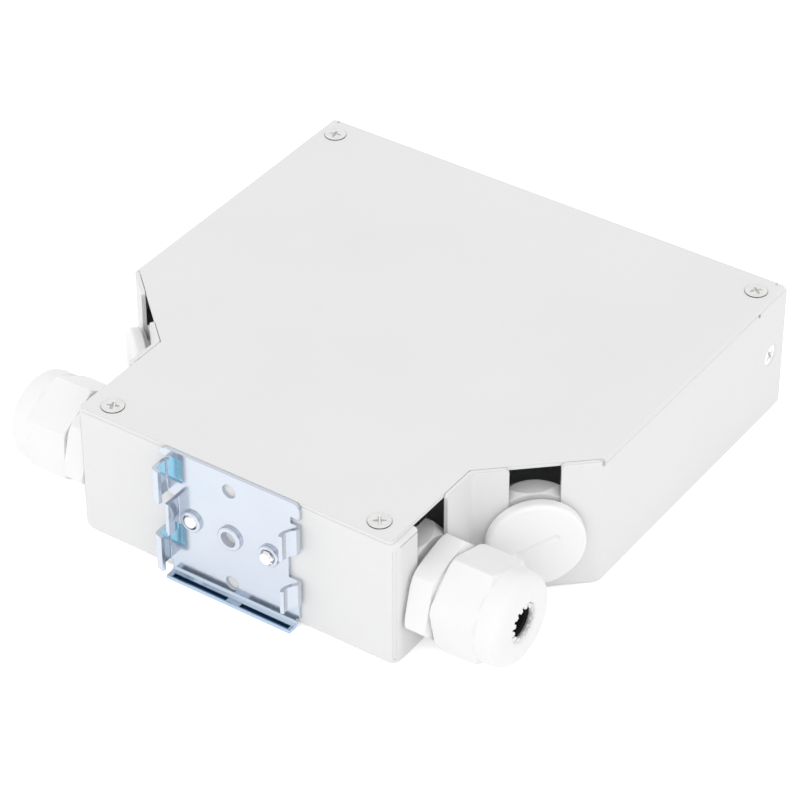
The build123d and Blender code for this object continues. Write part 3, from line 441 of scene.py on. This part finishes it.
def recessDepth(x, y, kind):
    across = np.minimum(abs(x), abs(y))
    along = np.maximum(abs(x), abs(y))
    outwards = along / kind["recess"]
    width = kind["wing"] / 2 * (cross["width"] - cross["taper"] * outwards)
    wall = np.clip((width - across) / cross["wallSlope"], 0, 1)
    end = np.clip((kind["recess"] - along) / cross["endSlope"], 0, 1)
    core = np.clip((cross["core"] * kind["wing"] - np.hypot(x, y)) / cross["coreSlope"], 0, 1)
    return np.maximum(wall * end, core) * kind["depth"] * (1 - cross["bowl"] * outwards ** 2)


def screwMesh(name, kind):
    form = screwForm
    angles = roundAngles(form["segments"])
    rim = kind["headRadius"]
    recess = np.linspace(0, kind["recess"] + form["recessMargin"], form["recessRings"])
    around = np.linspace(kind["recess"] + form["rimMargin"], rim, form["rimRings"])
    rings = []
    for r in np.concatenate([recess, around]):
        rise = kind["crown"] * (1 - (r / rim) ** 2) - kind["crown"]
        cut = recessDepth(r * np.cos(angles), r * np.sin(angles), kind)
        rings.append(ringAt(rise - cut, r, angles))
    rings.append(ringAt(-kind["crown"] - form["headEdge"], rim, angles))
    rings.append(ringAt(-kind["headLow"], kind["neck"], angles))
    rings.append(ringAt(-kind["headLow"] - form["step"], kind["shank"], angles))
    top = -kind["headLow"] - form["threadStart"]
    turns = (kind["length"] - form["threadEnd"] + top) / kind["pitch"]
    for k in range(int(turns * form["ringsPerTurn"])):
        z = top - k * kind["pitch"] / form["ringsPerTurn"]
        depth = form["threadShare"] * kind["pitch"]
        rings.append(ringAt(z, threadRadii(z, angles, kind["shank"], depth, kind["pitch"]), angles))
    for r in (kind["shank"] * form["tip"], 0.0):
        rings.append(ringAt(-kind["length"], r, angles))
    # The axis of the screw is Z
    points = np.concatenate(rings)[:, [1, 2, 0]] * mm
    faces = ringFaces(len(rings), form["segments"], False)
    return meshObject(name, points, faces, form["smoothAngle"])


screwTree, given = newTree("screwsOnPlaces", [
    ("Places", "Object"), ("Screw", "Object"), ("Material", "Material")])
places = addNode(screwTree, "GeometryNodeObjectInfo", {"Object": given["Places"]})
shape = addNode(screwTree, "GeometryNodeObjectInfo", {"Object": given["Screw"]})
turnName = addNode(screwTree, "GeometryNodeInputNamedAttribute", {"Name": "turn"},
                   data_type="FLOAT_VECTOR")
placed = addNode(screwTree, "GeometryNodeInstanceOnPoints",
                 {"Points": places.outputs["Geometry"], "Instance": shape.outputs["Geometry"],
                  "Rotation": turnName.outputs["Attribute"]})
closeTree(screwTree, placed.outputs[0], given["Material"])


def screwSet(name, kind, spots, body, replaced):
    # spots: (head centre, direction the head faces, turn of the recess in degrees)
    model = screwMesh(name + "Model", kind)
    cloud = bpy.data.meshes.new(name + "Places")
    cloud.from_pydata([tuple(s[0]) for s in spots], [], [])
    turn = cloud.attributes.new("turn", "FLOAT_VECTOR", "POINT")
    for item, (_, facing, angle) in zip(turn.data, spots):
        spin = Matrix.Rotation(math.radians(angle), 3, "Z").to_quaternion()
        item.vector = (Vector(facing).to_track_quat("Z", "Y") @ spin).to_euler()
    holder = linked(name + "Places", cloud)
    slot = "screw_steel"
    piece = grown(screwTree, {"Places": holder, "Screw": model, "Material": finishes[slot]}, name)
    bpy.data.objects.remove(holder)
    bpy.data.objects.remove(model)
    dress(piece, body, slot, replaced)


up = (0, 0, 1)
lidSpots = []
lidTurns = {"front_left": 20, "front_right": 35, "back_left": 10, "back_right": 50}
for corner, angle in lidTurns.items():
    middle, low, high = nodeBox("lid_screw_" + corner)
    lidSpots.append(((middle.x, middle.y, high.z), up, angle))
screwSet("lidScrews", screws["lid"], lidSpots, "lid", ["lid_screw_" + c for c in lidTurns])
sideSpots = []
for side, end in sides:
    middle, low, high = nodeBox("side_screw_" + end)
    out = max(high.x, -low.x) - headSink
    sideSpots.append(((side * out, middle.y, middle.z), (side, 0, 0), 30))
screwSet("sideScrews", screws["side"], sideSpots, "case", ["side_screw_left", "side_screw_right"])
for side, end in sides:
    middle, low, high = nodeBox("clip_screw_" + end)
    fitted = dict(screws["clip"], length=(high.y - low.y) / mm)
    spots = [((middle.x, high.y, middle.z), (0, 1, 0), 15)]
    screwSet("clipScrew_" + end, fitted, spots, "case", ["clip_screw_" + end])
traySpots = []
for end in ("front", "back"):
    middle, low, high = nodeBox("tray_screw_" + end)
    traySpots.append(((middle.x, middle.y, high.z), up, 25))
screwSet("trayScrews", screws["tray"], traySpots, "case", ["tray_screw_front", "tray_screw_back"])
print("screws: 10")

# Cable glands. Distances run outwards from the wall face. A bevel is cut by a soft limit on the
# radius: it starts bevelStart outside the flats and opens with the square root of the distance.

glandSegments = 192
glandBody = {
    "flats": 22.4, "corner": 15, "hexEnds": (0.8, 6.4), "bevelStart": (0.8, 0.65), "bevelRise": 1.2,
    "rim": 12.9, "sharpness": 12, "bands": ((0.8, 2.3, 12), (2.6, 4.6, 4), (4.8, 6.39, 18)),
    "tail": ((-7.5, 5.2), (-7.5, 7.4)), "tailThread": (-7.2, 0.7, 8.0, 0.45),
    "seat": ((0.8, 7.7), (0.8, 9.5)), "collar": ((6.4, 10.3), (6.95, 10.3)),
    "stemThread": (6.95, 19.7, 9.0, 0.5), "pitch": 1.5, "ringsPerTurn": 6,
    "front": ((19.8, 8.5), (22.15, 6.0), (22.25, 4.6), (23.05, 4.6), (23.05, 3.8), (22.7, 3.8),
              (22.6, 4.5), (22.05, 4.5), (22.05, 5.2)),
    "smoothAngle": 40,
}
glandCap = {
    "flats": 21.6, "corners": {1: 43, -1: 28}, "start": 7.0, "flatsEnd": 18.2, "end": 24.1,
    "bevelStart": 1.1, "bevelRise": 0.6, "rim": 12.5, "round": 11.15, "shoulderStart": 18.1,
    "shoulderSlope": 1.9, "domeSlope": 0.8, "domeLimit": 3.0,
    "rimSharpness": 9, "sharpness": 14, "domeSharpness": 30,
    "bands": ((7.0, 8.8, 12), (9.1, 15.2, 14), (15.4, 18.5, 32)), "back": ((7.0, 9.06), (7.0, 9.56)),
    "noseRadius": 3.2, "noseRings": 16, "mouth": 4.7, "lip": 0.9, "lipRings": 7,
    "inside": ((23.1, 4.7), (23.1, 6.1), (20.3, 9.06)), "smoothAngle": 32,
}
claws = {"count": 13, "tip": 3.5, "root": 4.6, "front": 23.5, "depth": 0.7, "gap": 0.16,
         "seeds": {1: 7, -1: 3}, "cuts": (5, 4, 3), "narrowing": (0.75, 0.82), "lean": -0.0004,
         "wobble": 0.10, "lengths": (0.82, 1.22)}


def glandOrigin(side, end):
    middle, low, high = nodeBox("gland_seal_" + end)
    return Vector((low.x if side > 0 else high.x, middle.y, middle.z))


def glandMesh(name, side, end, rings, smoothAngle):
    points = np.concatenate(rings) * mm * (side, 1, 1) + np.array(glandOrigin(side, end))
    return meshObject(name, points, ringFaces(len(rings), glandSegments, True), smoothAngle)


def bevelledTo(kind, startsAt, distance):
    return kind["flats"] / 2 + startsAt + kind["bevelRise"] * math.sqrt(max(distance, 0))


def capPiece(side, end):
    angles = roundAngles(glandSegments)
    cap = glandCap
    hexagon = hexRadius(angles, cap["flats"], cap["corners"][side])
    rings = ringsAlong(cap["back"], angles)
    for d in bandsOf(cap):
        rim = min(cap["rim"], bevelledTo(cap, cap["bevelStart"], d - cap["start"]))
        shoulder = cap["round"] + max(cap["shoulderStart"] - d, 0) * cap["shoulderSlope"]
        body = softMin(hexagon, softMin(rim, shoulder, cap["rimSharpness"]), cap["sharpness"])
        sink = min(cap["domeSlope"] * max(cap["flatsEnd"] - d, 0) ** 2, cap["domeLimit"])
        rings.append(ringAt(d, softMax(body, cap["round"] - sink, cap["domeSharpness"]), angles))
    nose = (cap["end"] - cap["noseRadius"], cap["round"] - cap["noseRadius"])
    rings += ringsAlong(arc(nose, cap["noseRadius"], 90, 0, cap["noseRings"]), angles)
    lip = (cap["end"] - cap["lip"], cap["mouth"] + cap["lip"])
    rings += ringsAlong(arc(lip, cap["lip"], 0, -90, cap["lipRings"]), angles)
    rings += ringsAlong(cap["inside"], angles)
    return glandMesh("glandCap_" + end, side, end, rings, cap["smoothAngle"])


def bodyPiece(side, end):
    angles = roundAngles(glandSegments)
    body = glandBody
    hexagon = hexRadius(angles, body["flats"], body["corner"])
    first, last = body["hexEnds"]
    backStart, frontStart = body["bevelStart"]
    rings = ringsAlong(body["tail"], angles)
    rings += threadRings(body["tailThread"], body, angles)
    rings += ringsAlong(body["seat"], angles)
    for d in bandsOf(body):
        rim = min(bevelledTo(body, frontStart, last - d), bevelledTo(body, backStart, d - first),
                  body["rim"])
        rings.append(ringAt(d, softMin(hexagon, rim, body["sharpness"]), angles))
    rings += ringsAlong(body["collar"], angles)
    rings += threadRings(body["stemThread"], body, angles)
    rings += ringsAlong(body["front"], angles)
    return glandMesh("glandBody_" + end, side, end, rings, body["smoothAngle"])


# Claws round the mouth: one tooth is made in the tree and set round a circle
clawTree, given = newTree("clawRing", [
    ("Teeth", "Int"), ("Tip Radius", "Float"), ("Root Radius", "Float"), ("Depth", "Float"),
    ("Gap", "Float"), ("Seed", "Int"), ("Front", "Float"), ("Material", "Material")])


def clawMath(operation, *values):
    return mathNode(clawTree, operation, *values)


def clawRandom(low, high):
    return addNode(clawTree, "FunctionNodeRandomValue", {2: low, 3: high, "Seed": given["Seed"]},
                   data_type="FLOAT").outputs[1]


middleRadius = clawMath("MULTIPLY", clawMath("ADD", given["Root Radius"], given["Tip Radius"]), 0.5)
reach = clawMath("SUBTRACT", given["Root Radius"], given["Tip Radius"])
share = clawMath("DIVIDE", clawMath("MULTIPLY", middleRadius, fullTurn), given["Teeth"])
size = vectorOf(clawTree, reach, clawMath("SUBTRACT", share, given["Gap"]), given["Depth"])
cuts = dict(zip(("Vertices X", "Vertices Y", "Vertices Z"), claws["cuts"]))
tooth = addNode(clawTree, "GeometryNodeMeshCube", {"Size": size, **cuts}).outputs[0]
# The tooth narrows towards its tip and leans there
spot = partsOf(clawTree, addNode(clawTree, "GeometryNodeInputPosition").outputs[0])
along = clawMath("DIVIDE", spot["X"], reach)
newY = clawMath("MULTIPLY", spot["Y"], clawMath("MULTIPLY_ADD", along, *claws["narrowing"]))
newZ = clawMath("ADD", spot["Z"], clawMath("MULTIPLY", along, claws["lean"]))
shaped = vectorOf(clawTree, spot["X"], newY, newZ)
toothShape = addNode(clawTree, "GeometryNodeSetPosition",
                     {"Geometry": tooth, "Position": shaped}).outputs[0]
circle = addNode(clawTree, "GeometryNodeMeshCircle",
                 {"Vertices": given["Teeth"], "Radius": middleRadius}).outputs[0]
where = partsOf(clawTree, addNode(clawTree, "GeometryNodeInputPosition").outputs[0])
wobble = clawRandom(-claws["wobble"], claws["wobble"])
tilt = vectorOf(clawTree, wobble, wobble, clawMath("ARCTAN2", where["Y"], where["X"]))
stretch = vectorOf(clawTree, clawRandom(*claws["lengths"]), 1.0, 1.0)
ring = addNode(clawTree, "GeometryNodeInstanceOnPoints",
               {"Points": circle, "Instance": toothShape, "Rotation": tilt, "Scale": stretch})
forward = vectorOf(clawTree, 0.0, 0.0, given["Front"])
moved = addNode(clawTree, "GeometryNodeTransform",
                {"Geometry": ring.outputs[0], "Translation": forward})
closeTree(clawTree, moved.outputs[0], given["Material"])


def clawPiece(side, end):
    piece = grown(clawTree, {
        "Teeth": claws["count"], "Tip Radius": claws["tip"] * mm, "Root Radius": claws["root"] * mm,
        "Depth": claws["depth"] * mm, "Gap": claws["gap"] * mm, "Seed": claws["seeds"][side],
        "Front": (claws["front"] - claws["depth"] / 2) * mm,
        "Material": finishes["gland_plastic"]}, "glandClaws_" + end)
    # The ring is made along Z; it is laid along the gland's axis in its own mesh
    laid = Matrix.Rotation(side * math.pi / 2, 4, "Y")
    piece.data.transform(Matrix.Translation(glandOrigin(side, end)) @ laid)
    piece.data.update()
    return piece


for side, end in sides:
    dress(capPiece(side, end), "gland_cap_" + end, "gland_plastic", ["gland_cap_" + end])
    dress(bodyPiece(side, end), "case", "gland_plastic", ["gland_body_" + end])
    dress(clawPiece(side, end), "case", "gland_plastic")
print("glands: 2")

# Blind plugs in the slanted walls. angle is how far the wall's outward direction is turned from X.

plug = {"angle": 47.58, "segments": 160, "seal": 0.8, "top": 3.8, "headRadius": 11.3, "round": 1.0,
        "roundRings": 9, "slotLength": 10.9, "slotWidth": 1.3, "slotDepth": 0.55, "slotTurn": 25,
        "slotMargin": 0.2, "slotSlope": 0.7, "bands": ((0, 6.4, 44), (6.8, 10.3, 6)),
        "rim": ((1.1, 11.3), (0.8, 11.0), (0.8, 7.7)), "thread": (0.7, -6.7, 8.0, 0.45),
        "pitch": 1.5, "ringsPerTurn": 6, "tail": ((-7.0, 7.4), (-7.0, 6.0), (0, 6.0), (0, 0)),
        "smoothAngle": 38}


def slotCut(u, v):
    turn = math.radians(plug["slotTurn"])
    alongSlot = u * math.cos(turn) + v * math.sin(turn)
    acrossSlot = -u * math.sin(turn) + v * math.cos(turn)
    straight = (plug["slotLength"] - plug["slotWidth"]) / 2
    away = np.hypot(np.maximum(abs(alongSlot) - straight, 0), acrossSlot)
    edge = plug["slotWidth"] / 2 + plug["slotMargin"]
    return plug["slotDepth"] * np.clip((edge - away) / plug["slotSlope"], 0, 1)


def plugPiece(side, end):
    angles = roundAngles(plug["segments"])
    rings = []
    for r in bandsOf(plug):
        cut = slotCut(r * np.cos(angles), r * np.sin(angles))
        rings.append(ringAt(plug["top"] - cut, r, angles))
    corner = (plug["top"] - plug["round"], plug["headRadius"] - plug["round"])
    rings += ringsAlong(arc(corner, plug["round"], 5, 90, plug["roundRings"]), angles)
    rings += ringsAlong(plug["rim"], angles)
    rings += threadRings(plug["thread"], plug, angles)
    rings += ringsAlong(plug["tail"], angles)
    local = np.concatenate(rings)
    turn = math.radians(plug["angle"])
    out = np.array([side * math.cos(turn), -math.sin(turn), 0])
    across = np.array([side * math.sin(turn), math.cos(turn), 0])
    points = np.outer(local[:, 0] - plug["seal"] / 2, out) + np.outer(local[:, 1], across)
    points += np.outer(local[:, 2], up)
    points = points * mm + np.array(nodeBox("plug_seal_" + end)[0])
    faces = ringFaces(len(rings), plug["segments"], False)
    return meshObject("plugHead_" + end, points, faces, plug["smoothAngle"])


for side, end in sides:
    dress(plugPiece(side, end), "case", "plug_plastic", ["plug_" + end])
print("plugs: 2")

# Floor, backdrop, light and camera

studio = {"floorColour": 0.97, "floorGlow": 0.42, "floorReach": 6.0, "behind": 0.83, "before": 1.16,
          "backdrop": 1.0, "brightSide": (0.31, -0.95, 0.0)}
keyLamp = {"place": (0.40, -1.08, 0.60), "aim": (0, 0, 0.02), "size": 0.9, "power": 0.9}


def seenDirectly(tree):
    # 1 for camera, glossy and transmission rays
    path = addNode(tree, "ShaderNodeLightPath").outputs
    either = mathNode(tree, "MAXIMUM", path["Is Camera Ray"], path["Is Glossy Ray"])
    return mathNode(tree, "MAXIMUM", either, path["Is Transmission Ray"])


def paleFloor():
    mesh = bpy.data.meshes.new("floor")
    reach = studio["floorReach"]
    corners = [(-reach, -reach, 0), (reach, -reach, 0), (reach, reach, 0), (-reach, reach, 0)]
    mesh.from_pydata(corners, [], [(0, 1, 2, 3)])
    floor = linked("floor", mesh)
    material = bpy.data.materials.new("floorWhite")
    material.use_nodes = True
    tree = material.node_tree
    tree.nodes.clear()
    body = addNode(tree, "ShaderNodeBsdfDiffuse", {"Color": (*[studio["floorColour"]] * 3, 1)})
    strength = mathNode(tree, "MULTIPLY", seenDirectly(tree), studio["floorGlow"])
    glow = addNode(tree, "ShaderNodeEmission", {"Strength": strength})
    both = addNode(tree, "ShaderNodeAddShader", {0: body.outputs[0], 1: glow.outputs[0]})
    addNode(tree, "ShaderNodeOutputMaterial", {"Surface": both.outputs[0]})
    mesh.materials.append(material)


def whiteWorld():
    world = bpy.data.worlds.new("studio")
    bpy.context.scene.world = world
    world.use_nodes = True
    tree = world.node_tree
    tree.nodes.clear()
    # Light on surfaces is a little stronger from the bright side
    direction = addNode(tree, "ShaderNodeTexCoord").outputs["Generated"]
    facing = addNode(tree, "ShaderNodeVectorMath", {0: direction, 1: studio["brightSide"]},
                     operation="DOT_PRODUCT").outputs["Value"]
    around = spread(tree, facing, studio["behind"], studio["before"], -1, 1)
    level = spread(tree, seenDirectly(tree), around, studio["backdrop"], 0, 1)
    back = addNode(tree, "ShaderNodeBackground", {"Color": (1, 1, 1, 1), "Strength": level})
    addNode(tree, "ShaderNodeOutputWorld", {"Surface": back.outputs[0]})


def areaLamp(name, kind):
    data = bpy.data.lights.new(name, "AREA")
    data.shape = "DISK"
    data.size = kind["size"]
    data.energy = kind["power"]
    lamp = linked(name, data)
    lamp.location = kind["place"]
    aim = Vector(kind["aim"]) - Vector(kind["place"])
    lamp.rotation_euler = aim.to_track_quat("-Z", "Y").to_euler()


# The camera looks at a point inside the case from the right, in front and above
view = {"azimuth": 34.836, "elevation": 36.915, "roll": -0.309, "distance": 795.491, "focal": 154.08,
        "target": (0, -8.7, 17), "slideRight": -0.511, "slideUp": 0.857, "shiftX": 0.018498,
        "shiftY": -0.001576, "sensor": 36, "clipEnd": 30}


def photoCamera():
    azimuth, elevation, roll = (math.radians(view[k]) for k in ("azimuth", "elevation", "roll"))
    back = Vector((math.sin(azimuth) * math.cos(elevation), -math.cos(azimuth) * math.cos(elevation),
                   math.sin(elevation)))
    right = Vector((math.cos(azimuth), math.sin(azimuth), 0))
    upright = back.cross(right)
    turnedRight = math.cos(roll) * right + math.sin(roll) * upright
    turnedUp = -math.sin(roll) * right + math.cos(roll) * upright
    place = Vector(view["target"]) + back * view["distance"]
    place += turnedRight * view["slideRight"] + turnedUp * view["slideUp"]
    data = bpy.data.cameras.new("photoCamera")
    data.lens = view["focal"]
    data.sensor_width = view["sensor"]
    data.sensor_fit = "HORIZONTAL"
    data.shift_x = view["shiftX"]
    data.shift_y = view["shiftY"]
    data.clip_end = view["clipEnd"]
    camera = linked("photoCamera", data)
    axes = Matrix((turnedRight, turnedUp, back)).transposed().to_4x4()
    camera.matrix_world = Matrix.Translation(place * mm) @ axes
    bpy.context.scene.camera = camera


paleFloor()
whiteWorld()
areaLamp("key", keyLamp)
photoCamera()
bpy.context.scene.view_settings.view_transform = "Standard"
print("stage: floor, world, lamp, camera")
